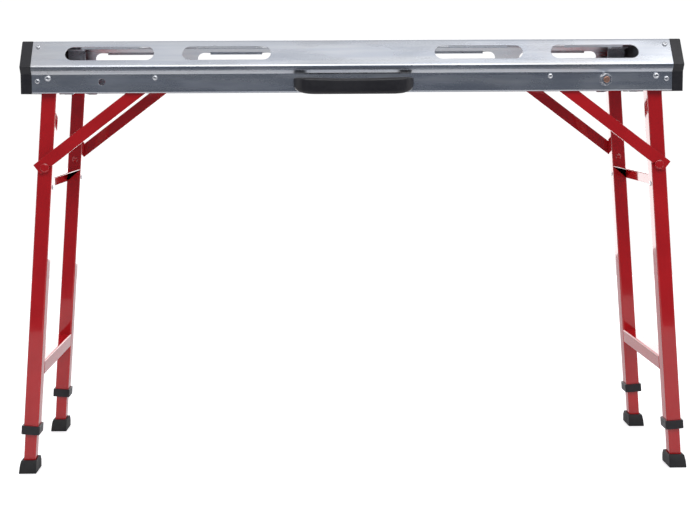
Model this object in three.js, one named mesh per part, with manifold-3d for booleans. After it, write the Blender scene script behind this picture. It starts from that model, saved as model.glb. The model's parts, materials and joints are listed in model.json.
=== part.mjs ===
// Folding work platform bench. Millimetres, +Z up, the feet stand on Z = 0.
// X runs along the deck, Y across it, and the carrying handle is on the -Y side.
import * as THREE from 'three';
import { mergeVertices } from 'three/addons/utils/BufferGeometryUtils.js';
import Module from 'manifold-3d';

const wasm = await Module();
wasm.setup();

// ---- driving dimensions --------------------------------------------------
const GAP = 0.3;                      // air between touching pieces
const LENGTH = 1100;                  // deck over both end caps
const WIDTH = 300;                    // deck from nose to nose
const HEIGHT = 732;                   // floor to the top of the side rails and end caps
const SHEET = 1.6;                    // folded sheet steel
const HALF_SHEET_LENGTH = 531.5;      // the side rails end here and the caps begin
const PLATE = { thickness: 1.8, halfWidth: 120, raisedHalf: 104.6 };
const RAIL = { ridgeY: 125, ridgeZ: HEIGHT, noseZ: 689, creaseZ: 682.7, panelY: 143.3, panelTopZ: 677.5,
  bottomZ: 645.3, flange: 20, noseTuck: 1.4, seam: 0.85, hem: 5, roll: 1.6 };
const SLOT = { centres: [209.7, 403.3], length: 147, height: 26, z: 711, lip: 98, lipDepth: 5.5 };
const PIVOT = { x: 504.7, z: 670.2, shank: 4 };
const SPLAY = THREE.MathUtils.degToRad(4.4);
const LEG = { spacing: 238, size: 25, wall: 1.5, corner: 3, top: 15, end: 602 };
const INNER = { size: 20, wall: 1.5, corner: 2.5, top: 317, end: 667 };
const COLLAR = { size: 31, top: 590.8, end: 605.7, floor: 3 };
const FOOT = { height: 21.5, shoulder: 13 };
const UPPER_RUNG = { below: 178.5, depth: 25, height: 25, open: true };
const LOWER_RUNG = { below: 495, depth: 25, height: 24.5, open: false };
const STAY = { x: 328, z: 670.3, slope: THREE.MathUtils.degToRad(37.2), width: 20, reach: 251,
  innerY: 134.2, outerY: 137.2 };
const STUD = { along: 238.8, across: -5.4, shank: 3.8, head: 7.5 };
const BRACKET = { innerY: 103.4, outerY: 106.2, topZ: 728, bottomZ: 643.5 };
const CAP = { wall: 2.5, plug: 2, end: 3, tabStart: 512, ribPitch: 14, proud: 0.3 };
const CAP_SCREW = { x: 522, lowZ: 665.3, highZ: 722.6 };
const BOLT = { x: 420, z: 664, radius: 5 };
const OPEN_HOLE = { x: -416, radius: 5.8 };
const HANDLE = { halfWidth: 98.5, reach: 38, thickness: 15, bottomZ: 642, topZ: 669.6, leg: 21 };

const LEFT = -1;
const RIGHT = 1;
const FRONT = -1;
const BACK = 1;
const SIDES = [['left', LEFT], ['right', RIGHT]];
const FACES = [['front', FRONT], ['back', BACK]];

// ---- materials -----------------------------------------------------------
const material = (color, roughness, metalness) =>
  new THREE.MeshStandardMaterial({ color, roughness, metalness });
const zinc = material(0xbfc5cf, 0.32, 0.9);
const steel = material(0xc9ccd1, 0.25, 1);
const copper = material(0xc48a6c, 0.35, 1);
const redPaint = material(0xa8202a, 0.18, 0.1);
const blackPlastic = material(0x2b292c, 0.45, 0);
const rubber = material(0x232327, 0.75, 0);

// ---- solids --------------------------------------------------------------
// Turns a closed geometry into a manifold solid, whichever way its faces were wound.
function solid(geometry) {
  const flat = geometry.index ? geometry.toNonIndexed() : geometry.clone();
  for (const name of Object.keys(flat.attributes)) {
    if (name !== 'position') flat.deleteAttribute(name);
  }
  const merged = mergeVertices(flat, 1e-4);
  const triVerts = Uint32Array.from(merged.index.array);
  const vertProperties = Float32Array.from(merged.attributes.position.array);
  if (signedVolume(vertProperties, triVerts) < 0) {
    for (let i = 0; i < triVerts.length; i += 3) {
      [triVerts[i], triVerts[i + 1]] = [triVerts[i + 1], triVerts[i]];
    }
  }
  return new wasm.Manifold(new wasm.Mesh({ numProp: 3, vertProperties, triVerts }));
}

function signedVolume(points, triangles) {
  const at = (i) => new THREE.Vector3().fromArray(points, 3 * triangles[i]);
  let volume = 0;
  for (let i = 0; i < triangles.length; i += 3) {
    volume += at(i).dot(at(i + 1).cross(at(i + 2)));
  }
  return volume;
}

function node(name, body, finish) {
  const mesh = body.simplify(0.02).getMesh();
  const geometry = new THREE.BufferGeometry();
  geometry.setAttribute('position', new THREE.BufferAttribute(Float32Array.from(mesh.vertProperties), 3));
  geometry.setIndex(new THREE.BufferAttribute(Uint32Array.from(mesh.triVerts), 1));
  geometry.computeVertexNormals();
  const part = new THREE.Mesh(geometry, finish);
  part.name = name;
  return part;
}

const box = (x0, x1, y0, y1, z0, z1) =>
  solid(new THREE.BoxGeometry(x1 - x0, y1 - y0, z1 - z0)
    .translate((x0 + x1) / 2, (y0 + y1) / 2, (z0 + z1) / 2));

// A cylinder along Y from y0 to y1.
const rodY = (radius, x, y0, y1, z, sides = 20) =>
  solid(new THREE.CylinderGeometry(radius, radius, y1 - y0, sides).translate(x, (y0 + y1) / 2, z));

// A turned piece. The profile gives [radius, depth], with depth counted inwards from a face.
function turned(profile, sides = 16) {
  return new THREE.LatheGeometry(profile.map(([r, y]) => new THREE.Vector2(r, y)), sides);
}

// Puts a turned piece on the deck's outer face, at |Y| = faceY, pointing inwards.
const onFace = (geometry, face, x, faceY, z) =>
  solid(geometry.rotateX(face === FRONT ? 0 : Math.PI).translate(x, face * faceY, z));

// Rounds the inner corners of an open line of [a, b] points.
function filleted(points, radius, steps = 3) {
  const line = points.map(([a, b]) => new THREE.Vector2(a, b));
  const out = [line[0]];
  for (let i = 1; i < line.length - 1; i++) {
    const before = line[i - 1].clone().sub(line[i]);
    const after = line[i + 1].clone().sub(line[i]);
    const reach = Math.min(radius, before.length() / 2.2, after.length() / 2.2);
    const start = line[i].clone().addScaledVector(before.normalize(), reach);
    const finish = line[i].clone().addScaledVector(after.normalize(), reach);
    out.push(...new THREE.QuadraticBezierCurve(start, line[i], finish).getPoints(steps));
  }
  out.push(line[line.length - 1]);
  return out;
}

// The closed outline of a sheet whose outer face follows the line.
function sheetOutline(line, thickness) {
  const inner = line.map((point, i) => {
    const before = line[Math.max(i - 1, 0)];
    const after = line[Math.min(i + 1, line.length - 1)];
    const along = after.clone().sub(before).normalize();
    return new THREE.Vector2(point.x + along.y * thickness, point.y - along.x * thickness);
  });
  return new THREE.Shape([...line, ...inner.reverse()]);
}

// Extrudes a (Y, Z) outline along X from x0 to x1.
function alongX(shape, x0, x1, curveSegments = 6) {
  const turn = new THREE.Matrix4().makeBasis(
    new THREE.Vector3(0, 1, 0), new THREE.Vector3(0, 0, 1), new THREE.Vector3(1, 0, 0));
  const geometry = new THREE.ExtrudeGeometry(shape, { depth: x1 - x0, bevelEnabled: false, curveSegments });
  return solid(geometry.applyMatrix4(turn).translate(x0, 0, 0));
}

// Extrudes an (X, Z) outline along Y from y0 to y1.
function alongY(shape, y0, y1, curveSegments = 6) {
  const geometry = new THREE.ExtrudeGeometry(shape, { depth: y1 - y0, bevelEnabled: false, curveSegments });
  return solid(geometry.rotateX(Math.PI / 2).translate(0, y1, 0));
}

function roundedSquare(Path, width, height, corner) {
  const [w, h] = [width / 2, height / 2];
  const path = new Path();
  path.moveTo(-w + corner, -h);
  path.lineTo(w - corner, -h);
  path.absarc(w - corner, -h + corner, corner, -Math.PI / 2, 0);
  path.lineTo(w, h - corner);
  path.absarc(w - corner, h - corner, corner, 0, Math.PI / 2);
  path.lineTo(-w + corner, h);
  path.absarc(-w + corner, h - corner, corner, Math.PI / 2, Math.PI);
  path.lineTo(-w, -h + corner);
  path.absarc(-w + corner, -h + corner, corner, Math.PI, 1.5 * Math.PI);
  return path;
}

// A rounded bar along Z, from z0 up to z1.
function bar(size, corner, z0, z1) {
  const shape = roundedSquare(THREE.Shape, size, size, corner);
  const geometry = new THREE.ExtrudeGeometry(shape, { depth: z1 - z0, bevelEnabled: false, curveSegments: 3 });
  return solid(geometry.translate(0, 0, z0));
}

const tube = (size, wall, corner, z0, z1) =>
  bar(size, corner, z0, z1).subtract(bar(size - 2 * wall, Math.max(corner - wall, 0.8), z0 - 1, z1 + 1));

// Joins rectangles [x centre, half x, half y, z] into one closed solid, from the bottom up.
function stacked(sections) {
  const points = [];
  for (const [x, a, b, z] of sections) {
    points.push([x - a, -b, z], [x + a, -b, z], [x + a, b, z], [x - a, b, z]);
  }
  const faces = [[0, 2, 1], [0, 3, 2]];
  for (let level = 0; level < sections.length - 1; level++) {
    for (let side = 0; side < 4; side++) {
      const a = 4 * level + side;
      const b = 4 * level + (side + 1) % 4;
      faces.push([a, b, b + 4], [a, b + 4, a + 4]);
    }
  }
  const top = 4 * (sections.length - 1);
  faces.push([top, top + 1, top + 2], [top, top + 2, top + 3]);
  const geometry = new THREE.BufferGeometry();
  geometry.setAttribute('position', new THREE.Float32BufferAttribute(points.flat(), 3));
  geometry.setIndex(faces.flat());
  return solid(geometry);
}

// ---- deck ----------------------------------------------------------------
const slantRun = WIDTH / 2 - RAIL.ridgeY;
const slantRise = RAIL.ridgeZ - RAIL.noseZ;
const slantAngle = Math.atan2(slantRise, slantRun);
const slantY = (z) => RAIL.ridgeY + (RAIL.ridgeZ - z) * slantRun / slantRise;

// The outer line of one deck skirt: top flange, slanted panel and nose.
const skirtLine = () => [
  [RAIL.ridgeY - RAIL.flange, RAIL.ridgeZ],
  [RAIL.ridgeY, RAIL.ridgeZ],
  [WIDTH / 2, RAIL.noseZ],
  [WIDTH / 2 - RAIL.noseTuck, RAIL.creaseZ],
];

// The outer line of one side rail: step, lower panel and rolled edge. It starts below the skirt.
const railLine = () => [
  [WIDTH / 2 - RAIL.noseTuck - RAIL.seam, RAIL.creaseZ - RAIL.seam],
  [RAIL.panelY, RAIL.panelTopZ],
  [RAIL.panelY, RAIL.bottomZ + RAIL.roll],
  [RAIL.panelY - 0.75 * RAIL.roll, RAIL.bottomZ],
];

function foldedSheet(points, face) {
  const line = filleted(points, 3).map((p) => new THREE.Vector2(face * p.x, p.y));
  const shape = sheetOutline(line, face === FRONT ? -SHEET : SHEET);
  return alongX(shape, -HALF_SHEET_LENGTH, HALF_SHEET_LENGTH);
}

function slotCutter(face, x, length, height, depth) {
  const half = length / 2 - height / 2;
  const shape = new THREE.Shape();
  shape.moveTo(-half, -height / 2);
  shape.lineTo(half, -height / 2);
  shape.absarc(half, 0, height / 2, -Math.PI / 2, Math.PI / 2);
  shape.lineTo(-half, height / 2);
  shape.absarc(-half, 0, height / 2, Math.PI / 2, 1.5 * Math.PI);
  const geometry = new THREE.ExtrudeGeometry(shape, { depth, bevelEnabled: false, curveSegments: 8 });
  return solid(geometry.translate(0, 0, -depth / 2)
    .rotateX(face === FRONT ? slantAngle : -slantAngle)
    .translate(x, face * slantY(SLOT.z), SLOT.z));
}

// A lip is a narrow strip folded inwards along one straight edge of a slot.
function slotLips(face, x) {
  const thick = 1.2;
  const halfHeight = SLOT.height / 2 * Math.sin(slantAngle);
  const strips = [[SLOT.z + halfHeight + 0.6, 0.45, 0.89], [SLOT.z - halfHeight - 0.9, 0.85, 0.53]];
  return strips.map(([z, inward, down]) => {
    const y = slantY(z) - 0.5;
    const outline = [
      [y, z],
      [y - inward * SLOT.lipDepth, z - down * SLOT.lipDepth],
      [y - inward * SLOT.lipDepth - down * thick, z - down * SLOT.lipDepth + inward * thick],
      [y - down * thick, z + inward * thick],
    ];
    const shape = new THREE.Shape(outline.map(([a, b]) => new THREE.Vector2(face * a, b)));
    return alongX(shape, x - SLOT.lip / 2, x + SLOT.lip / 2);
  });
}

function deckSkirt(name, face) {
  let skirt = foldedSheet(skirtLine(), face);
  const lips = [];
  for (const centre of SLOT.centres) {
    for (const x of [-centre, centre]) {
      skirt = skirt.subtract(slotCutter(face, x, SLOT.length, SLOT.height, 20));
      lips.push(...slotLips(face, x));
    }
  }
  for (const lip of lips) skirt = skirt.add(lip);
  for (const [, side] of SIDES) skirt = skirt.subtract(highScrewHole(face, side));
  return node(name, skirt, zinc);
}

function sideRail(name, face) {
  let rail = foldedSheet(railLine(), face);
  const [hemIn, hemOut] = [face * (RAIL.panelY - 2.6), face * (RAIL.panelY - 1)].sort((a, b) => a - b);
  rail = rail.add(box(-HALF_SHEET_LENGTH, HALF_SHEET_LENGTH, hemIn, hemOut, RAIL.bottomZ + 0.5,
    RAIL.bottomZ + RAIL.hem));
  const through = (radius, x, z) => {
    const [y0, y1] = [face * 135, face * 150].sort((a, b) => a - b);
    rail = rail.subtract(rodY(radius, x, y0, y1, z));
  };
  for (const [, side] of SIDES) {
    through(PIVOT.shank + GAP, side * PIVOT.x, PIVOT.z);
    through(3 + GAP, side * STAY.x, STAY.z);
    through(1.8 + GAP, side * CAP_SCREW.x, CAP_SCREW.lowZ);
  }
  if (face === FRONT) {
    through(BOLT.radius + GAP, BOLT.x, BOLT.z);
    through(OPEN_HOLE.radius, OPEN_HOLE.x, BOLT.z);
    for (const [, side] of SIDES) through(2.5 + GAP, side * handleScrewX, handleScrewZ);
  }
  return node(name, rail, zinc);
}

// The plate is stepped: its middle is level with the skirts' top flanges and its borders lie under them.
function deckPlate() {
  const low = HEIGHT - SHEET - GAP;
  const piece = (y0, y1, z0, z1) => box(-HALF_SHEET_LENGTH, HALF_SHEET_LENGTH, y0, y1, z0, z1);
  let plate = piece(-PLATE.raisedHalf, PLATE.raisedHalf, HEIGHT - PLATE.thickness, HEIGHT);
  for (const [, face] of FACES) {
    const spanY = (m, n) => [face * m, face * n].sort((c, d) => c - d);
    const step = PLATE.raisedHalf - PLATE.thickness;
    plate = plate.add(piece(...spanY(step, PLATE.halfWidth), low - PLATE.thickness, low));
    plate = plate.add(piece(...spanY(step, PLATE.raisedHalf), low - PLATE.thickness, HEIGHT));
  }
  return node('deck_plate', plate, zinc);
}

// ---- end caps ------------------------------------------------------------
// The cap's outline, drawn in by inset on every side that the deck sheet covers.
function capOutline(inset, bottomZ) {
  const half = [
    [RAIL.ridgeY + 0.5 - inset * 0.55, HEIGHT - inset],
    [WIDTH / 2 + CAP.proud - inset * 1.16, RAIL.noseZ - 0.3],
    [RAIL.panelY + 0.6 - inset, RAIL.panelTopZ - 0.5],
    [RAIL.panelY + 0.6 - inset, bottomZ],
  ];
  const right = half.map(([y, z]) => new THREE.Vector2(y, z));
  const left = half.map(([y, z]) => new THREE.Vector2(-y, z)).reverse();
  return new THREE.Shape([...right, ...left]);
}

// A tab that reaches under the slanted panel and takes the high screw.
function highTab(face) {
  const [near, far] = [SHEET + 0.2, SHEET + 2.6];
  const normalY = Math.sin(slantAngle);
  const normalZ = Math.cos(slantAngle);
  const corner = (z, depth) => new THREE.Vector2(face * (slantY(z) - normalY * depth), z - normalZ * depth);
  return new THREE.Shape([corner(726.4, near), corner(712, near), corner(712, far), corner(726.4, far)]);
}

// The cap is hollow behind a plug wall that closes the end of the deck sheets.
function endCap(name, side) {
  const start = HALF_SHEET_LENGTH + GAP;
  const spanX = (x0, x1) => [side * x0, side * x1].sort((a, b) => a - b);
  const bottomZ = RAIL.bottomZ - 1;
  let cap = alongX(capOutline(0, bottomZ), ...spanX(start, LENGTH / 2));
  const hollow = spanX(start + CAP.plug, LENGTH / 2 - CAP.end);
  cap = cap.subtract(alongX(capOutline(CAP.wall, bottomZ - 5), ...hollow));
  for (let y = -9 * CAP.ribPitch + CAP.ribPitch / 2; y < 9 * CAP.ribPitch; y += CAP.ribPitch) {
    const top = HEIGHT - 1;
    cap = cap.add(box(...spanX(start + 6, LENGTH / 2 - 1), y - 0.8, y + 0.8, bottomZ + 4, top - 1));
  }
  for (const [, face] of FACES) {
    const spanY = (a, b) => [face * a, face * b].sort((m, n) => m - n);
    const tabX = spanX(CAP.tabStart, LENGTH / 2 - 1);
    cap = cap.add(box(...tabX, ...spanY(RAIL.panelY - 4.4, RAIL.panelY - 1.9), 652, 674));
    cap = cap.add(box(...spanX(start + 1, LENGTH / 2 - 1), ...spanY(RAIL.panelY - 4.4, RAIL.panelY - 1),
      652, 674));
    cap = cap.add(alongX(highTab(face), ...tabX));
    const screwY = spanY(RAIL.panelY - 10, RAIL.panelY + 5);
    cap = cap.subtract(rodY(1.8 + GAP, side * CAP_SCREW.x, ...screwY, CAP_SCREW.lowZ));
    cap = cap.subtract(highScrewHole(face, side));
  }
  return node(name, cap, blackPlastic);
}

// ---- fasteners -----------------------------------------------------------
const capScrewProfile = [[0, -2.9], [2.6, -2.7], [4.1, -1.6], [4.3, -GAP], [1.8, -GAP], [1.8, 5.6], [0, 5.6]];

function intoSlant(geometry, face, side) {
  const turn = face === FRONT ? slantAngle - Math.PI / 2 : Math.PI / 2 - slantAngle + Math.PI;
  return solid(geometry.rotateX(turn)
    .translate(side * CAP_SCREW.x, face * slantY(CAP_SCREW.highZ), CAP_SCREW.highZ));
}

const highScrewHole = (face, side) =>
  intoSlant(new THREE.CylinderGeometry(1.8 + GAP, 1.8 + GAP, 20, 20), face, side);

function capScrews(name, face, side) {
  const low = onFace(turned(capScrewProfile), face, side * CAP_SCREW.x, RAIL.panelY, CAP_SCREW.lowZ);
  const high = intoSlant(turned(capScrewProfile), face, side);
  return [node(`cap_screw_low_${name}`, low, steel), node(`cap_screw_high_${name}`, high, steel)];
}

function pivotRivet(name, face, side) {
  const tail = RAIL.panelY - BRACKET.innerY + GAP;
  const profile = [[0, -2.8], [3.2, -2.6], [5, -1.4], [5.3, -GAP], [PIVOT.shank, -GAP], [PIVOT.shank, tail],
    [5.6, tail], [5.2, tail + 2], [0, tail + 2.2]];
  return node(name, onFace(turned(profile), face, side * PIVOT.x, RAIL.panelY, PIVOT.z), steel);
}

// The spacer keeps the stay off the panel; the tail holds the stay on.
function stayRivet(name, face, side) {
  const spacer = [SHEET + GAP, RAIL.panelY - STAY.outerY - GAP];
  const tail = RAIL.panelY - STAY.innerY + GAP;
  const profile = [[0, -2.1], [2.6, -1.9], [4.1, -1], [4.3, -GAP], [3, -GAP], [3, spacer[0]], [6, spacer[0]],
    [6, spacer[1]], [3, spacer[1]], [3, tail], [5, tail], [4.8, tail + 1.5], [0, tail + 1.5]];
  return node(name, onFace(turned(profile), face, side * STAY.x, RAIL.panelY, STAY.z), steel);
}

function accessoryBolt() {
  const profile = [[0, -9.6], [4.4, -9.6], [BOLT.radius, -9], [BOLT.radius, SHEET + GAP], [8, SHEET + GAP],
    [8, SHEET + 2.6], [0, SHEET + 2.6]];
  return node('accessory_bolt', onFace(turned(profile, 20), FRONT, BOLT.x, RAIL.panelY, BOLT.z), copper);
}

function accessoryNut() {
  const outer = RAIL.panelY + GAP;
  const hex = solid(new THREE.CylinderGeometry(9.5, 9.5, 6.4, 6).translate(BOLT.x, -outer - 4.6, BOLT.z));
  const flange = rodY(10.4, BOLT.x, -outer - 1.6, -outer, BOLT.z, 24);
  const bore = rodY(BOLT.radius + GAP, BOLT.x, -outer - 12, -outer + 2, BOLT.z, 20);
  return node('accessory_nut', hex.add(flange).subtract(bore), steel);
}

// ---- carrying handle -----------------------------------------------------
const handleScrewX = HANDLE.halfWidth - HANDLE.leg / 2;
const handleScrewZ = (HANDLE.bottomZ + HANDLE.topZ) / 2 + 1;

// A bow in plan: two legs that stand off the lower panel, and a grip across them.
function handle() {
  const round = 5;
  const back = -(RAIL.panelY + GAP) - 0.01;
  const front = -(WIDTH / 2 + HANDLE.reach);
  const outer = HANDLE.halfWidth;
  const bend = 24;
  const shape = new THREE.Shape();
  shape.moveTo(-outer + round, back);
  shape.lineTo(-outer + round, front + bend);
  shape.absarc(-outer + bend, front + bend, bend - round, Math.PI, 1.5 * Math.PI);
  shape.lineTo(outer - bend, front + round);
  shape.absarc(outer - bend, front + bend, bend - round, 1.5 * Math.PI, 2 * Math.PI);
  shape.lineTo(outer - round, back);
  shape.lineTo(outer - HANDLE.leg + round, back);
  shape.lineTo(outer - HANDLE.leg + round, front + bend);
  const inside = bend - HANDLE.thickness;
  shape.absarc(outer - HANDLE.leg + round - inside, front + HANDLE.thickness - round + inside, inside,
    0, -Math.PI / 2, true);
  shape.lineTo(-outer + HANDLE.leg - round + inside, front + HANDLE.thickness - round);
  shape.absarc(-outer + HANDLE.leg - round + inside, front + HANDLE.thickness - round + inside, inside,
    -Math.PI / 2, -Math.PI, true);
  shape.lineTo(-outer + HANDLE.leg - round, back);
  const geometry = new THREE.ExtrudeGeometry(shape, {
    depth: HANDLE.topZ - HANDLE.bottomZ - 2 * round, curveSegments: 5,
    bevelEnabled: true, bevelThickness: round, bevelSize: round, bevelSegments: 3 });
  let body = solid(geometry.translate(0, 0, HANDLE.bottomZ + round));
  body = body.subtract(box(-outer - 9, outer + 9, -(RAIL.panelY + GAP), -100, 600, 700));
  for (const [, side] of SIDES) {
    body = body.subtract(rodY(2.5 + GAP, side * handleScrewX, -(RAIL.panelY + 13), -100, handleScrewZ));
  }
  return node('carrying_handle', body, blackPlastic);
}

function handleScrew(name, side) {
  const profile = [[0, -12], [2.5, -11.5], [2.5, SHEET + GAP], [5, SHEET + GAP], [5, SHEET + 0.8], [3.4, SHEET + 1.1],
    [0, SHEET + 1.1]];
  return node(name, onFace(turned(profile), FRONT, side * handleScrewX, RAIL.panelY, handleScrewZ), steel);
}

// ---- leg brackets --------------------------------------------------------
// An ear beside each leg's inner face, with a flange under the deck.
function legBracket(name, face, side) {
  const ear = [[-18, BRACKET.topZ], [13, BRACKET.topZ], [14, 692], [37, 668], [37, BRACKET.bottomZ + 3],
    [33, BRACKET.bottomZ], [20, BRACKET.bottomZ], [-12, 652], [-18, 662]];
  const shape = new THREE.Shape(ear.map(([dx, z]) => new THREE.Vector2(side * (PIVOT.x - dx), z)));
  const spanY = (a, b) => [face * a, face * b].sort((m, n) => m - n);
  const spanX = [side * (PIVOT.x + 18), side * (PIVOT.x - 13)].sort((m, n) => m - n);
  let bracket = alongY(shape, ...spanY(BRACKET.innerY, BRACKET.outerY));
  bracket = bracket.add(box(...spanX, ...spanY(BRACKET.innerY - 24, BRACKET.outerY), BRACKET.topZ - 2.5,
    BRACKET.topZ));
  bracket = bracket.subtract(rodY(PIVOT.shank + GAP, side * PIVOT.x, ...spanY(90, 120), PIVOT.z));
  return node(name, bracket, zinc);
}

// ---- leg frames ----------------------------------------------------------
const legY = LEG.spacing / 2;

// The stud's place on a right-hand leg: x across the leg and z along it, from its pivot.
const studSpot = new THREE.Vector2(STUD.along, STUD.across)
  .rotateAround(new THREE.Vector2(), -STAY.slope)
  .add(new THREE.Vector2(STAY.x - PIVOT.x, STAY.z - PIVOT.z))
  .rotateAround(new THREE.Vector2(), -SPLAY);

// A group whose origin is a leg's pivot and whose -Z axis runs down the leg.
function onLeg(side, y, ...parts) {
  const group = new THREE.Group();
  group.position.set(side * PIVOT.x, y, PIVOT.z);
  group.rotation.y = -side * SPLAY;
  group.add(...parts);
  return group;
}

function outerLeg(name, side) {
  let leg = tube(LEG.size, LEG.wall, LEG.corner, -LEG.end, LEG.top);
  leg = leg.subtract(rodY(PIVOT.shank + GAP, 0, -20, 20, 0));
  leg = leg.subtract(rodY(STUD.shank, side * studSpot.x, -20, 20, studSpot.y));
  return node(name, leg, redPaint);
}

function collar(name) {
  const cup = bar(COLLAR.size, 2.5, -COLLAR.end, -COLLAR.top);
  const seat = bar(LEG.size + 2 * GAP, LEG.corner, -COLLAR.end + COLLAR.floor, 0);
  const bore = bar(INNER.size + 2 * GAP, INNER.corner, -COLLAR.end - 5, 0);
  return node(name, cup.subtract(seat).subtract(bore), blackPlastic);
}

const innerLeg = (name) => node(name, tube(INNER.size, INNER.wall, INNER.corner, -INNER.end, -INNER.top), redPaint);

// A rung spans the two legs of a frame, with its inner face level with theirs. The lower one is a tube,
// and the upper one an angle with its upper flange towards the middle of the bench.
function rung(name, side, size) {
  const halfSpan = legY - LEG.size / 2 - GAP;
  const middle = -side * (LEG.size - size.depth) / 2;
  const path = (shrink) => roundedSquare(THREE.Shape, size.depth - shrink, size.height - shrink,
    2.6 - shrink * 0.6);
  const outer = alongY(path(0), -halfSpan, halfSpan, 3);
  const openX = [side * (size.depth / 2 - LEG.wall), -side * size.depth].sort((a, b) => a - b);
  const openZ = size.height / 2 - LEG.wall;
  const inner = size.open
    ? box(...openX, -halfSpan - 5, halfSpan + 5, -size.height, openZ)
    : alongY(path(2 * LEG.wall), -halfSpan - 5, halfSpan + 5, 3);
  return node(name, outer.subtract(inner).translate([middle, 0, -size.below]), redPaint);
}

// The sole is level, so the foot leans with the leg while its ends stay flat.
function foot(name, face, side) {
  const legX = (z) => side * (PIVOT.x + (PIVOT.z - z) * Math.tan(SPLAY));
  const body = stacked([[legX(0), 14.9, 20, 0], [legX(FOOT.shoulder), 14.2, 20, FOOT.shoulder],
    [legX(FOOT.height), 13.4, 16, FOOT.height]]);
  const socket = bar(INNER.size + 2 * GAP, INNER.corner, -INNER.end - 0.5, 0)
    .rotate([0, THREE.MathUtils.radToDeg(-side * SPLAY), 0])
    .translate([side * PIVOT.x, 0, PIVOT.z]);
  return node(name, body.subtract(socket).translate([0, face * legY, 0]), rubber);
}

// ---- diagonal stays ------------------------------------------------------
// A stay's own frame: +X runs from its deck rivet to the leg stud, +Y is its upper edge.
function stayShape() {
  const half = STAY.width / 2;
  const shape = new THREE.Shape();
  shape.absarc(0, 0, half, Math.PI / 2, 1.5 * Math.PI);
  shape.lineTo(STAY.reach - 5, -half);
  shape.absarc(STAY.reach - 5, -half + 5, 5, -Math.PI / 2, 0);
  shape.lineTo(STAY.reach, half - 0.6);
  shape.lineTo(STAY.reach - 0.6, half);
  return shape;
}

// The hook: a round seat for the stud with a slanted mouth in the stay's lower edge.
function hookShape() {
  const seat = STUD.shank + 0.5;
  const [x, y] = [STUD.along, STUD.across];
  const shape = new THREE.Shape();
  shape.absarc(x, y, seat, -0.25 * Math.PI, 0.75 * Math.PI);
  shape.lineTo(x - seat * 0.7 - 14, y + seat * 0.7 - 14);
  shape.lineTo(x + seat * 0.7 - 14, y - seat * 0.7 - 14);
  return shape;
}

// Turns a stay-frame shape into a flat solid beside the legs, on the outer side.
function inStayFrame(shape, face, side, y0, y1) {
  const spanY = [face * y0, face * y1].sort((a, b) => a - b);
  const drawn = new THREE.Shape(shape.getPoints(8).map((p) => {
    const turned = p.clone().rotateAround(new THREE.Vector2(), -STAY.slope);
    return new THREE.Vector2(side * (turned.x + STAY.x), turned.y + STAY.z);
  }));
  return alongY(drawn, ...spanY);
}

function stay(name, face, side) {
  let strip = inStayFrame(stayShape(), face, side, STAY.innerY, STAY.outerY);
  strip = strip.subtract(inStayFrame(hookShape(), face, side, STAY.innerY - 2, STAY.outerY + 2));
  const spanY = [face * 120, face * 150].sort((a, b) => a - b);
  strip = strip.subtract(rodY(3 + GAP, side * STAY.x, ...spanY, STAY.z));
  return node(name, strip, redPaint);
}

// Head, shank and washer of the stud that the hook sits on. It stops just short of the leg.
function stayStud(name, face, side) {
  const at = new THREE.Vector2(STUD.along, STUD.across).rotateAround(new THREE.Vector2(), -STAY.slope);
  const legFace = legY + LEG.size / 2;
  const profile = [[0, -1.7], [5.6, -1.7], [STUD.head, -1], [STUD.head, 0], [STUD.shank, 0],
    [STUD.shank, 3.6], [7, 3.6], [7, 5.4], [0, 5.4]];
  const stud = onFace(turned(profile, 24), face, side * (STAY.x + at.x), STAY.outerY + GAP, STAY.z + at.y);
  if (STAY.outerY + GAP - 5.4 < legFace) throw new Error(`${name} runs into the leg`);
  return node(name, stud, redPaint);
}

// ---- assembly ------------------------------------------------------------
const bench = new THREE.Group();
bench.add(deckPlate());
bench.add(handle());
bench.add(accessoryBolt());
bench.add(accessoryNut());
for (const [faceName, face] of FACES) {
  bench.add(deckSkirt(`deck_skirt_${faceName}`, face));
  bench.add(sideRail(`side_rail_${faceName}`, face));
}
for (const [sideName, side] of SIDES) {
  bench.add(endCap(`end_cap_${sideName}`, side));
  bench.add(handleScrew(`handle_screw_${sideName}`, side));
  bench.add(onLeg(side, 0, rung(`upper_rung_${sideName}`, side, UPPER_RUNG),
    rung(`lower_rung_${sideName}`, side, LOWER_RUNG)));
  for (const [faceName, face] of FACES) {
    const name = `${faceName}_${sideName}`;
    bench.add(legBracket(`leg_bracket_${name}`, face, side));
    bench.add(pivotRivet(`leg_pivot_${name}`, face, side));
    bench.add(stayRivet(`stay_rivet_${name}`, face, side));
    bench.add(...capScrews(name, face, side));
    bench.add(onLeg(side, face * legY, outerLeg(`outer_leg_${name}`, side), collar(`leg_collar_${name}`),
      innerLeg(`inner_leg_${name}`)));
    bench.add(foot(`foot_${name}`, face, side));
    bench.add(stay(`stay_${name}`, face, side));
    bench.add(stayStud(`stay_stud_${name}`, face, side));
  }
}

// The handle reaches out on one side only, so the deck sits back by half its reach.
bench.position.y = (HANDLE.reach - CAP.proud) / 2;

export default bench;
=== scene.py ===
"""The looks of the folding work platform bench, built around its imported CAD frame.

Everything is in metres, in the frame of the CAD model: X along the deck, -Y towards the handle.
"""

import json
import math

import bmesh
import bpy
from mathutils import Matrix, Vector


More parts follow.
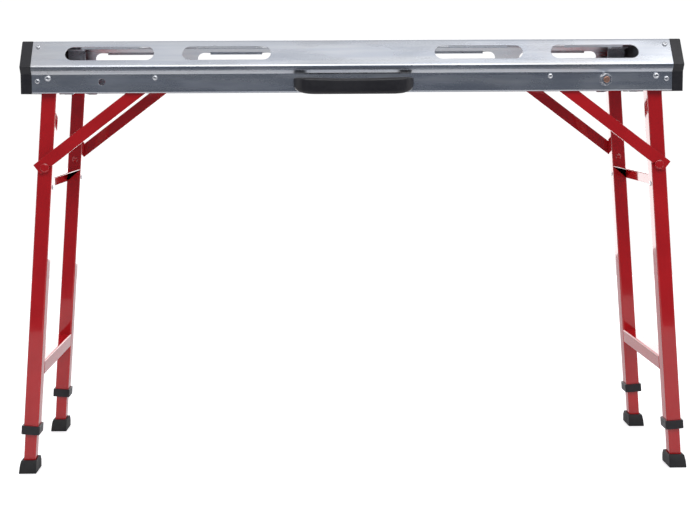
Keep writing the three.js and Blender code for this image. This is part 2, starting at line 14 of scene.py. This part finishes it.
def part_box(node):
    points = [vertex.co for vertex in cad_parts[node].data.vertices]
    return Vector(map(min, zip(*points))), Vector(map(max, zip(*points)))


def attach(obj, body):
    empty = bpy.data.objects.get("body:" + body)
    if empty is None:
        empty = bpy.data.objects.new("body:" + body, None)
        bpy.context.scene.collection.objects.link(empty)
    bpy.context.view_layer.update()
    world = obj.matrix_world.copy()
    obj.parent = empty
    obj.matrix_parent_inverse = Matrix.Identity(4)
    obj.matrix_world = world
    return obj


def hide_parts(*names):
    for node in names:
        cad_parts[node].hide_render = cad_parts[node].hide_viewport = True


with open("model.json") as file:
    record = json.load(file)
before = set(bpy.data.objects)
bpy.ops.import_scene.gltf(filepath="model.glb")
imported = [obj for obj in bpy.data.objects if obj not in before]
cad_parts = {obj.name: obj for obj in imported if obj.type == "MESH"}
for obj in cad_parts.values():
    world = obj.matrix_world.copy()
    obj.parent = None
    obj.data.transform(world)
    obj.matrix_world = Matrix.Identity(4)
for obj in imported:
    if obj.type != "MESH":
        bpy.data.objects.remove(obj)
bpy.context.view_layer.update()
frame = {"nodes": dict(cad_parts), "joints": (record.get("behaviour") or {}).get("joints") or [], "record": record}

MM = 0.001
SIDES = (("left", -1), ("right", 1))
FACES = (("front", -1), ("back", 1))

# Places read from the frame.
DECK_LOW, DECK_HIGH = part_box("deck_plate")
DECK_Y = (DECK_LOW[1] + DECK_HIGH[1]) / 2
JOINTS = {joint["name"]: joint for joint in frame["joints"]}


# ---- camera, floor and light ------------------------------------------------
def add_camera():
    """A view from slightly under deck height and a little left of the middle, tilted slightly down."""
    yaw, tilt, roll = (math.radians(a) for a in (0.780, 4.392, 0.290))
    forward = Vector((math.sin(yaw) * math.cos(tilt), math.cos(yaw) * math.cos(tilt), -math.sin(tilt)))
    level = Vector((math.cos(yaw), -math.sin(yaw), 0))
    above = level.cross(forward)
    right = math.cos(roll) * level - math.sin(roll) * above
    up = math.sin(roll) * level + math.cos(roll) * above
    data = bpy.data.cameras.new("camera")
    data.lens = 56.63
    data.sensor_width = 36
    data.shift_x = 0.0418
    data.shift_y = -0.1073
    camera = bpy.data.objects.new("camera", data)
    turn = Matrix((right, up, -forward)).transposed().to_4x4()
    camera.matrix_world = Matrix.Translation((-0.0795, DECK_Y - 1.9761, 0.6393)) @ turn
    bpy.context.collection.objects.link(camera)
    bpy.context.scene.camera = camera


def add_floor():
    """A white floor. It ends a step in front of the bench, where the studio is dark."""
    reach, front, back = 9, -1.25, 1.9
    bm = bmesh.new()
    corners = ((-reach, front), (reach, front), (reach, back), (-reach, back))
    bm.faces.new([bm.verts.new((x, y, 0)) for x, y in corners])
    floor = mesh_object("floor", bm)
    material, net, shader = new_material("floor")
    shader.inputs["Base Color"].default_value = (0.74, 0.74, 0.74, 1)
    shader.inputs["Roughness"].default_value = 0.5
    shader.inputs["Emission Color"].default_value = (1, 1, 1, 1)
    seen = net.add("ShaderNodeLightPath").outputs["Is Camera Ray"]
    net.feed(shader.inputs["Emission Strength"], net.math("MULTIPLY", seen, 0.62))
    floor.data.materials.append(material)


def add_world():
    """A white studio that is brightest behind the bench, with a dark opening where the camera stands."""
    world = bpy.data.worlds.new("studio")
    bpy.context.scene.world = world
    world.use_nodes = True
    tree = world.node_tree
    tree.nodes.clear()
    net = Net(tree)
    split = net.add("ShaderNodeSeparateXYZ", Vector=net.add("ShaderNodeTexCoord").outputs["Generated"])
    level = net.ease(split.outputs["Z"], 0.62, 0.30)
    opening = net.math("MULTIPLY", net.ease(split.outputs["Y"], -0.30, -0.70), level)
    behind = net.ease(split.outputs["Y"], 0.35, 0.85)
    backdrop = net.math("MULTIPLY", behind, net.ease(split.outputs["Z"], 0.6, 0.2))
    bright = net.mix((0.66, 0.67, 0.70, 1), (2.15, 2.15, 2.15, 1), backdrop)
    lit = net.mix(bright, (0.105, 0.118, 0.145, 1), opening)
    seen = net.add("ShaderNodeLightPath").outputs["Is Camera Ray"]
    colour = net.mix(lit, (1.05, 1.05, 1.05, 1), seen)
    background = net.add("ShaderNodeBackground", Color=colour)
    background.inputs["Strength"].default_value = 1.0
    net.add("ShaderNodeOutputWorld", Surface=background.outputs[0])


def add_lights():
    """A broad soft box over the front of the bench."""
    data = bpy.data.lights.new("soft_box", "AREA")
    data.shape = "RECTANGLE"
    data.size = 3.8
    data.size_y = 1.6
    data.energy = 33
    light = bpy.data.objects.new("soft_box", data)
    light.location = (0.6, -2.2, 2.4)
    aim = Vector((0, 0, 0.45)) - light.location
    light.rotation_euler = aim.to_track_quat("-Z", "Y").to_euler()
    bpy.context.collection.objects.link(light)


# ---- shader nets ----------------------------------------------------------
class Net:
    """Short calls for wiring shader nodes."""

    def __init__(self, tree):
        self.tree = tree

    def add(self, kind, **inputs):
        node = self.tree.nodes.new(kind)
        for name, value in inputs.items():
            self.feed(node.inputs[name], value)
        return node

    def feed(self, socket, value):
        if isinstance(value, bpy.types.NodeSocket):
            self.tree.links.new(value, socket)
        else:
            socket.default_value = value

    def math(self, operation, a, b=None):
        node = self.tree.nodes.new("ShaderNodeMath")
        node.operation = operation
        self.feed(node.inputs[0], a)
        if b is not None:
            self.feed(node.inputs[1], b)
        return node.outputs[0]

    def ease(self, value, start, end, low=0.0, high=1.0):
        """Rises smoothly from low at start to high at end."""
        node = self.tree.nodes.new("ShaderNodeMapRange")
        node.interpolation_type = "SMOOTHSTEP"
        for socket, number in zip(("From Min", "From Max", "To Min", "To Max"), (start, end, low, high)):
            node.inputs[socket].default_value = number
        self.feed(node.inputs["Value"], value)
        return node.outputs["Result"]

    def mix(self, a, b, factor):
        node = self.tree.nodes.new("ShaderNodeMix")
        node.data_type = "RGBA"
        self.feed(node.inputs["Factor"], factor)
        self.feed(node.inputs[6], a)
        self.feed(node.inputs[7], b)
        return node.outputs[2]

    def noise(self, scale, detail=2.0, stretch=(1, 1, 1), rough=0.5):
        """Noise in the object's own metres, so scale is in cells per metre."""
        place = self.add("ShaderNodeMapping", Vector=self.add("ShaderNodeTexCoord").outputs["Object"])
        place.inputs["Scale"].default_value = stretch
        node = self.add("ShaderNodeTexNoise", Vector=place.outputs[0])
        node.inputs["Scale"].default_value = scale
        node.inputs["Detail"].default_value = detail
        node.inputs["Roughness"].default_value = rough
        return node.outputs["Fac"]

    def bump(self, height, strength, distance, under=None):
        node = self.add("ShaderNodeBump", Height=height)
        node.inputs["Strength"].default_value = strength
        node.inputs["Distance"].default_value = distance
        if under is not None:
            self.feed(node.inputs["Normal"], under)
        return node.outputs[0]


def new_material(name):
    material = bpy.data.materials.new(name)
    material.use_nodes = True
    return material, Net(material.node_tree), material.node_tree.nodes["Principled BSDF"]


def zinc_sheet():
    """Zinc-plated sheet: bright, slightly blue, with rolling streaks, cloudy patches and fine scratches."""
    material, net, shader = new_material("zinc_plated_sheet")
    streaks = net.noise(90, 3, (0.05, 1, 1))
    clouds = net.noise(9, 4, (0.6, 1, 1))
    cool = net.mix((0.59, 0.62, 0.68, 1), (0.70, 0.72, 0.75, 1), net.ease(streaks, 0.3, 0.7))
    warm = net.mix(cool, (0.65, 0.62, 0.61, 1), net.ease(clouds, 0.52, 0.72, 0, 0.55))
    net.feed(shader.inputs["Base Color"], warm)
    shader.inputs["Metallic"].default_value = 1.0
    net.feed(shader.inputs["Roughness"], net.ease(net.noise(40, 5, (0.2, 1, 1)), 0.25, 0.75, 0.2, 0.34))
    net.feed(shader.inputs["Normal"], net.bump(net.noise(1400, 2, (0.03, 1, 1)), 0.05, 0.00005))
    return material


def red_paint():
    """Glossy red powder coat with fine orange peel and a slightly uneven tone."""
    material, net, shader = new_material("red_paint")
    tone = net.noise(14, 4)
    base = net.mix((0.540, 0.0060, 0.0095, 1), (0.620, 0.0085, 0.0125, 1), net.ease(tone, 0.3, 0.7))
    specks = net.ease(net.noise(900, 1), 0.72, 0.78, 0, 0.35)
    net.feed(shader.inputs["Base Color"], net.mix(base, (0.30, 0.006, 0.009, 1), specks))
    net.feed(shader.inputs["Roughness"], net.ease(net.noise(60, 3), 0.3, 0.7, 0.07, 0.12))
    shader.inputs["Coat Weight"].default_value = 1.0
    shader.inputs["Coat Roughness"].default_value = 0.03
    peel = net.bump(net.noise(520, 2), 0.05, 0.00012)
    net.feed(shader.inputs["Normal"], peel)
    return material


def black_plastic():
    """Moulded plastic with a fine grain, a soft sheen and faint flow marks."""
    material, net, shader = new_material("black_plastic")
    flow = net.noise(22, 3, (1, 1, 0.4))
    base = net.mix((0.016, 0.015, 0.018, 1), (0.026, 0.025, 0.029, 1), net.ease(flow, 0.3, 0.7))
    net.feed(shader.inputs["Base Color"], base)
    net.feed(shader.inputs["Roughness"], net.ease(net.noise(160, 3), 0.3, 0.7, 0.30, 0.42))
    grain = net.bump(net.noise(1900, 3), 0.28, 0.00012)
    net.feed(shader.inputs["Normal"], grain)
    return material


def foot_rubber():
    """Dull rubber with a dusty bloom and a rough skin."""
    material, net, shader = new_material("foot_rubber")
    bloom = net.noise(35, 5, rough=0.65)
    base = net.mix((0.012, 0.012, 0.014, 1), (0.034, 0.033, 0.034, 1), net.ease(bloom, 0.35, 0.75))
    net.feed(shader.inputs["Base Color"], base)
    net.feed(shader.inputs["Roughness"], net.ease(bloom, 0.3, 0.7, 0.52, 0.8))
    net.feed(shader.inputs["Normal"], net.bump(net.noise(1300, 4), 0.35, 0.0002))
    return material


def plated(name, light, dark, roughness):
    """Plated fastener metal with faint turning marks and darker patches."""
    material, net, shader = new_material(name)
    patches = net.noise(420, 3)
    net.feed(shader.inputs["Base Color"], net.mix(dark, light, net.ease(patches, 0.3, 0.6)))
    shader.inputs["Metallic"].default_value = 1.0
    net.feed(shader.inputs["Roughness"], net.ease(patches, 0.3, 0.7, roughness, roughness + 0.14))
    net.feed(shader.inputs["Normal"], net.bump(net.noise(2600, 2), 0.10, 0.0001))
    return material


MATERIALS = {
    "zinc_plated_sheet": zinc_sheet(),
    "red_paint": red_paint(),
    "black_plastic": black_plastic(),
    "foot_rubber": foot_rubber(),
    "bright_steel": plated("bright_steel", (0.84, 0.85, 0.87, 1), (0.66, 0.67, 0.70, 1), 0.16),
    "copper_plating": plated("copper_plating", (0.86, 0.50, 0.37, 1), (0.66, 0.33, 0.23, 1), 0.24),
}
SLOT_OF = {part["node"]: part["material_slot"] for part in frame["record"]["subparts"]}
BODY_OF = {node: body for body, nodes in frame["record"]["behaviour"]["bodies"].items() for node in nodes}


# ---- mesh helpers ---------------------------------------------------------
def mesh_object(name, bm):
    data = bpy.data.meshes.new(name)
    bm.to_mesh(data)
    bm.free()
    piece = bpy.data.objects.new(name, data)
    bpy.context.collection.objects.link(piece)
    return piece


def smooth(piece, angle=35):
    """Smooth shading that keeps creases sharper than the angle, with flat faces left flat."""
    for face in piece.data.polygons:
        face.use_smooth = True
    piece.data.set_sharp_from_angle(angle=math.radians(angle))
    normals = piece.modifiers.new("flat_faces", "WEIGHTED_NORMAL")
    normals.keep_sharp = True


def place(piece, body, slot_name):
    piece.data.materials.clear()
    piece.data.materials.append(MATERIALS[slot_name])
    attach(piece, body)


def stand_for(piece, node):
    """The piece takes over a CAD node's body, material slot and place."""
    place(piece, BODY_OF[node], SLOT_OF[node])
    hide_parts(node)


def sharp_edges(bm, crease):
    return [e for e in bm.edges if len(e.link_faces) == 2 and e.calc_face_angle() > math.radians(crease)]


def soft_edged(node, width, segments=2, crease=28, rounded=None, joined=True):
    """The CAD node's shape with its flat faces joined up and its sharp edges rounded off.

    Rounded is a (width, test) pair that gives the edges passing the test a larger radius. A panel with
    several holes is left as triangles (joined off), because one face can't go around them all.
    """
    bm = bmesh.new()
    bm.from_mesh(frame["nodes"][node].data)
    bmesh.ops.remove_doubles(bm, verts=bm.verts, dist=2e-6)
    if joined:
        bmesh.ops.dissolve_limit(bm, angle_limit=math.radians(0.6), verts=bm.verts, edges=bm.edges)
    if rounded:
        chosen = [e for e in sharp_edges(bm, crease) if rounded[1](e)]
        bmesh.ops.bevel(bm, geom=chosen, offset=rounded[0], segments=4, profile=0.5, affect="EDGES",
                        clamp_overlap=False)
    bmesh.ops.bevel(bm, geom=sharp_edges(bm, crease), offset=width, segments=segments, profile=0.5,
                    affect="EDGES", clamp_overlap=False)
    bmesh.ops.triangulate(bm, faces=[f for f in bm.faces if len(f.verts) > 4])
    piece = mesh_object(node + "_skin", bm)
    smooth(piece)
    stand_for(piece, node)
    return piece


def ring_surface(bm, rings, centre, across, along, sides=24, facets=None):
    """Joins rings (radius, depth) into a closed turned surface about an axis.

    Depth runs along the inward axis. A ring listed in facets is drawn with that many flat sides.
    """
    facets = facets or {}
    up = along.cross(across)
    loops = []
    for index, (radius, depth) in enumerate(rings):
        middle = centre + along * depth
        if radius == 0:
            loops.append([bm.verts.new(middle)])
            continue
        loop = []
        for step in range(sides):
            angle = 2 * math.pi * step / sides
            reach = radius
            if index in facets:
                sector = 2 * math.pi / facets[index]
                reach = radius * math.cos(sector / 2) / math.cos(angle % sector - sector / 2)
            loop.append(bm.verts.new(middle + (across * math.cos(angle) + up * math.sin(angle)) * reach))
        loops.append(loop)
    for first, second in zip(loops, loops[1:]):
        for step in range(sides):
            following = (step + 1) % sides
            corners = [first[step % len(first)], first[following % len(first)],
                       second[following % len(second)], second[step % len(second)]]
            bm.faces.new(list(dict.fromkeys(corners)))


def fastener(name, rings, centre, along, sides=24, facets=None):
    bm = bmesh.new()
    across = Vector((1, 0, 0)) if abs(along.x) < 0.9 else Vector((0, 1, 0))
    across = (across - along * across.dot(along)).normalized()
    ring_surface(bm, rings, Vector(centre), across, along.normalized(), sides, facets)
    bmesh.ops.recalc_face_normals(bm, faces=bm.faces)
    piece = mesh_object(name, bm)
    smooth(piece, 40)
    return piece


# ---- deck -----------------------------------------------------------------
PIP_ROWS, PIP_COLUMNS = 11, 48
PIP = {"radius": 4.2 * MM, "height": 1.3 * MM, "sheet": 1.2 * MM}
SHEET_STEP = {"edge": 104.6 * MM, "border": 119.5 * MM, "low": 729.9 * MM}


def deck_sheet():
    """One pressed sheet with rows of raised anti-slip pips, hollow from below."""
    x0, x1, top = DECK_LOW[0], DECK_HIGH[0], DECK_HIGH[2]
    y0, y1 = DECK_Y - SHEET_STEP["edge"], DECK_Y + SHEET_STEP["edge"]
    level = top - PIP["height"]
    step_x, step_y = (x1 - x0) / PIP_COLUMNS, (y1 - y0) / PIP_ROWS
    square = [(-1, -1), (-1 / 3, -1), (1 / 3, -1), (1, -1), (1, -1 / 3), (1, 1 / 3),
              (1, 1), (1 / 3, 1), (-1 / 3, 1), (-1, 1), (-1, 1 / 3), (-1, -1 / 3)]
    rings = [(1.5, 0.0), (1.06, 0.0), (0.92, 0.35), (0.74, 0.8), (0.42, 1.0)]
    bm = bmesh.new()
    for column in range(PIP_COLUMNS):
        for row in range(PIP_ROWS):
            cx, cy = x0 + step_x * (column + 0.5), y0 + step_y * (row + 0.5)
            loops = [[bm.verts.new((cx + a * step_x / 2, cy + b * step_y / 2, level)) for a, b in square]]
            for share, lift in rings:
                reach = share * PIP["radius"]
                loop = []
                for a, b in square:
                    size = math.hypot(a, b)
                    point = (cx + a / size * reach, cy + b / size * reach, level + lift * PIP["height"])
                    loop.append(bm.verts.new(point))
                loops.append(loop)
            for first, second in zip(loops, loops[1:]):
                for i in range(len(square)):
                    j = (i + 1) % len(square)
                    bm.faces.new((first[i], first[j], second[j], second[i]))
            bm.faces.new(loops[-1])
    bmesh.ops.remove_doubles(bm, verts=bm.verts, dist=1e-5)
    for edge_y, border_y in ((y0, DECK_Y - SHEET_STEP["border"]), (y1, DECK_Y + SHEET_STEP["border"])):
        rim = [e for e in bm.edges if all(abs(v.co.y - edge_y) < 1e-5 for v in e.verts)]
        for next_y in (edge_y, border_y):
            grown = bmesh.ops.extrude_edge_only(bm, edges=rim)["geom"]
            for vert in (g for g in grown if isinstance(g, bmesh.types.BMVert)):
                vert.co.y, vert.co.z = next_y, SHEET_STEP["low"]
            rim = [g for g in grown if isinstance(g, bmesh.types.BMEdge)]
    bmesh.ops.recalc_face_normals(bm, faces=bm.faces)
    sheet = mesh_object("deck_sheet", bm)
    if sheet.data.polygons[0].normal.z < 0:
        sheet.data.flip_normals()
    thick = sheet.modifiers.new("thickness", "SOLIDIFY")
    thick.thickness = PIP["sheet"]
    thick.offset = -1
    smooth(sheet, 45)
    stand_for(sheet, "deck_plate")


# Cuts and straight are shares of the bow's half length, out from its middle.
HANDLE = {"cuts": (0.30, 0.60, 0.68, 0.75, 0.81, 0.86, 0.90, 0.935, 0.965, 0.985), "straight": 0.62,
          "corner_rise": 13 * MM, "corner_power": 2.4, "grip_sink": 2.2 * MM}


def handle():
    """The bow of the carrying handle, with rounded lower corners and a grip slightly hollow on top."""
    low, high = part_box("carrying_handle")
    bm = bmesh.new()
    bm.from_mesh(frame["nodes"]["carrying_handle"].data)
    bmesh.ops.remove_doubles(bm, verts=bm.verts, dist=2e-6)
    bmesh.ops.dissolve_limit(bm, angle_limit=math.radians(0.6), verts=bm.verts, edges=bm.edges)
    half = (high[0] - low[0]) / 2
    for share in HANDLE["cuts"]:
        for side in (-1, 1):
            everything = list(bm.verts) + list(bm.edges) + list(bm.faces)
            cut = (side * share * half, 0, 0)
            bmesh.ops.bisect_plane(bm, geom=everything, plane_co=cut, plane_no=(1, 0, 0))
    for vert in bm.verts:
        out = min(abs(vert.co.x) / half, 1)
        turn = max(out - HANDLE["straight"], 0) / (1 - HANDLE["straight"])
        rise = HANDLE["corner_rise"] * (1 - math.sqrt(max(1 - turn ** HANDLE["corner_power"], 0)))
        sink = HANDLE["grip_sink"] * (1 - out ** 2) ** 2
        height = (vert.co.z - low[2]) / (high[2] - low[2])
        vert.co.z = low[2] + rise + height * (high[2] - sink - low[2] - rise)
    bmesh.ops.triangulate(bm, faces=[f for f in bm.faces if len(f.verts) > 4])
    piece = mesh_object("handle_bow", bm)
    smooth(piece, 48)
    stand_for(piece, "carrying_handle")


# Just inside the caps' outer faces, and above their open lower edges.
CAP_FACE_X, CAP_RIM_Z = 549.5 * MM, 650 * MM


def on_end_face(edge):
    """True for the outline of an end cap's outer face, without its open lower edge."""
    return min(abs(v.co.x) for v in edge.verts) > CAP_FACE_X and max(v.co.z for v in edge.verts) > CAP_RIM_Z


def deck():
    deck_sheet()
    for face_name, _ in FACES:
        soft_edged(f"deck_skirt_{face_name}", 0.28 * MM, joined=False)
        soft_edged(f"side_rail_{face_name}", 0.28 * MM, joined=False)
    for side_name, _ in SIDES:
        soft_edged(f"end_cap_{side_name}", 0.5 * MM, rounded=(2.2 * MM, on_end_face))
    handle()
    for face_name, _ in FACES:
        for side_name, _ in SIDES:
            soft_edged(f"leg_bracket_{face_name}_{side_name}", 0.35 * MM)


# ---- fasteners --------------------------------------------------------------
CAP_SCREW_RINGS = ((0, -0.9), (1.35, -0.9), (1.5, -2.75), (2.5, -2.8), (3.4, -2.3), (4.1, -1.6),
                   (4.3, -0.9), (4.3, -0.3), (1.8, -0.3), (1.8, 5.6), (0, 5.6))
CAP_SCREW_SEAT = 2.9 * MM
# The rings numbered 1 and 2 are six-sided, which makes a hexagon socket.
SOCKET = {1: 6, 2: 6}
# The high screws sit square to the slanted long sides. Their Y is measured from the deck's middle.
SLANT_SCREW_Y, SLANT_SCREW_Z = 130.465 * MM, 722.6 * MM
SLANT_IN = {-1: Vector((0, 0.864, -0.503)), 1: Vector((0, -0.864, -0.503))}
RIVETS = {
    "leg_pivot": {"lift": 2.8, "shank": 4, "flare": 5.6, "hollow": 2.0, "head": 5.3},
    "stay_rivet": {"lift": 2.1, "shank": 3, "flare": 5, "hollow": 1.6, "head": 4.3},
}


def in_metres(rings):
    return [(radius * MM, depth * MM) for radius, depth in rings]


def cap_screws(corner, face):
    low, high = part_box(f"cap_screw_low_{corner}")
    outer = low[1] if face < 0 else high[1]
    place_x = (low[0] + high[0]) / 2
    inward = Vector((0, -face, 0))
    seat = Vector((place_x, outer - face * CAP_SCREW_SEAT, (low[2] + high[2]) / 2))
    slant = Vector((place_x, DECK_Y + face * SLANT_SCREW_Y, SLANT_SCREW_Z))
    for level, centre, along in (("low", seat, inward), ("high", slant, SLANT_IN[face])):
        name = f"cap_screw_{level}_{corner}"
        piece = fastener(name + "_turned", in_metres(CAP_SCREW_RINGS), centre, along, 24, SOCKET)
        stand_for(piece, name)


def rivet(kind, corner, face):
    """A hollow rivet: a domed head with a drawn-in centre, a shank and a rolled tail."""
    name = f"{kind}_{corner}"
    low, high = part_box(name)
    inward = Vector((0, -face, 0))
    outer = low[1] if face < 0 else high[1]
    lift, shank, flare, hollow, head = (RIVETS[kind][k] for k in ("lift", "shank", "flare", "hollow", "head"))
    length = (high[1] - low[1]) / MM - lift
    domed_head = [(0, 0.6), (hollow, 0.6), (hollow + 0.15, 0.25 - lift), (hollow + 0.6, -lift),
                  (0.72 * head, 0.35 - lift), (0.93 * head, -0.5 * lift), (head, -0.3), (shank, -0.3)]
    rolled_tail = [(shank, length - 2), (flare, length - 2), (flare - 0.3, length - 0.6),
                   (hollow + 0.8, length), (hollow, length - 0.4), (hollow, length - 1.6), (0, length - 1.6)]
    seat = Vector(((low[0] + high[0]) / 2, outer, (low[2] + high[2]) / 2)) + inward * lift * MM
    piece = fastener(name + "_turned", in_metres(domed_head + rolled_tail), seat, inward)
    stand_for(piece, name)


def fasteners():
    soft_edged("accessory_nut", 0.35 * MM)
    soft_edged("accessory_bolt", 0.3 * MM)
    for side_name, _ in SIDES:
        soft_edged(f"handle_screw_{side_name}", 0.15 * MM)
    for face_name, face in FACES:
        for side_name, _ in SIDES:
            corner = f"{face_name}_{side_name}"
            cap_screws(corner, face)
            rivet("leg_pivot", corner, face)
            rivet("stay_rivet", corner, face)


# ---- legs -------------------------------------------------------------------
SPLAY = math.radians(4.4)
LEG_HALF, LEG_Y = 12.5 * MM, 119 * MM
RUNG_RIVET_Z = 489 * MM
STUD_TAIL = ((0, -2.0), (2.6, -2.0), (3.4, -1.5), (4.9, -0.9), (5.6, -0.15), (3.6, -0.15), (3.6, 24.8),
             (0, 24.8))
RUNG_RIVET = ((0, -0.7), (1.2, -0.7), (1.4, -1.5), (3.0, -1.4), (4.2, -0.8), (4.6, -0.1), (0, -0.1))


def stud_tail(corner, face, side_name):
    """The end of the stay's stud, which goes through the leg and is riveted over on its inner face."""
    low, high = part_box(f"stay_stud_{corner}")
    centre = Vector(((low[0] + high[0]) / 2, DECK_Y + face * (LEG_Y - LEG_HALF), (low[2] + high[2]) / 2))
    piece = fastener(f"stud_tail_{corner}", in_metres(STUD_TAIL), centre, Vector((0, face, 0)))
    place(piece, f"{side_name}_frame", "red_paint")


def rung_rivet(corner, face, side_name, side):
    """One blind rivet on the leg's inner side holds the upper rung's end."""
    pivot_x, _, pivot_z = JOINTS[f"{side_name}_frame_fold"]["pos_m"]
    middle = pivot_x + side * (pivot_z - RUNG_RIVET_Z) * math.tan(SPLAY)
    inward = Vector((side * math.cos(SPLAY), 0, math.sin(SPLAY)))
    centre = Vector((middle, DECK_Y + face * LEG_Y, RUNG_RIVET_Z)) - inward * LEG_HALF
    piece = fastener(f"rung_rivet_{corner}", in_metres(RUNG_RIVET), centre, inward)
    place(piece, f"{side_name}_frame", "bright_steel")


def legs():
    for side_name, side in SIDES:
        for level in ("upper", "lower"):
            soft_edged(f"{level}_rung_{side_name}", 0.4 * MM)
        for face_name, face in FACES:
            corner = f"{face_name}_{side_name}"
            stud_tail(corner, face, side_name)
            rung_rivet(corner, face, side_name, side)
            soft_edged(f"outer_leg_{corner}", 0.3 * MM)
            soft_edged(f"inner_leg_{corner}", 0.3 * MM)
            soft_edged(f"leg_collar_{corner}", 0.8 * MM)
            soft_edged(f"foot_{corner}", 1.2 * MM, 3)
            soft_edged(f"stay_{corner}", 0.35 * MM)
            soft_edged(f"stay_stud_{corner}", 0.25 * MM)


bpy.context.scene.view_settings.view_transform = "Standard"
add_camera()
add_world()
add_lights()
add_floor()
deck()
fasteners()
legs()
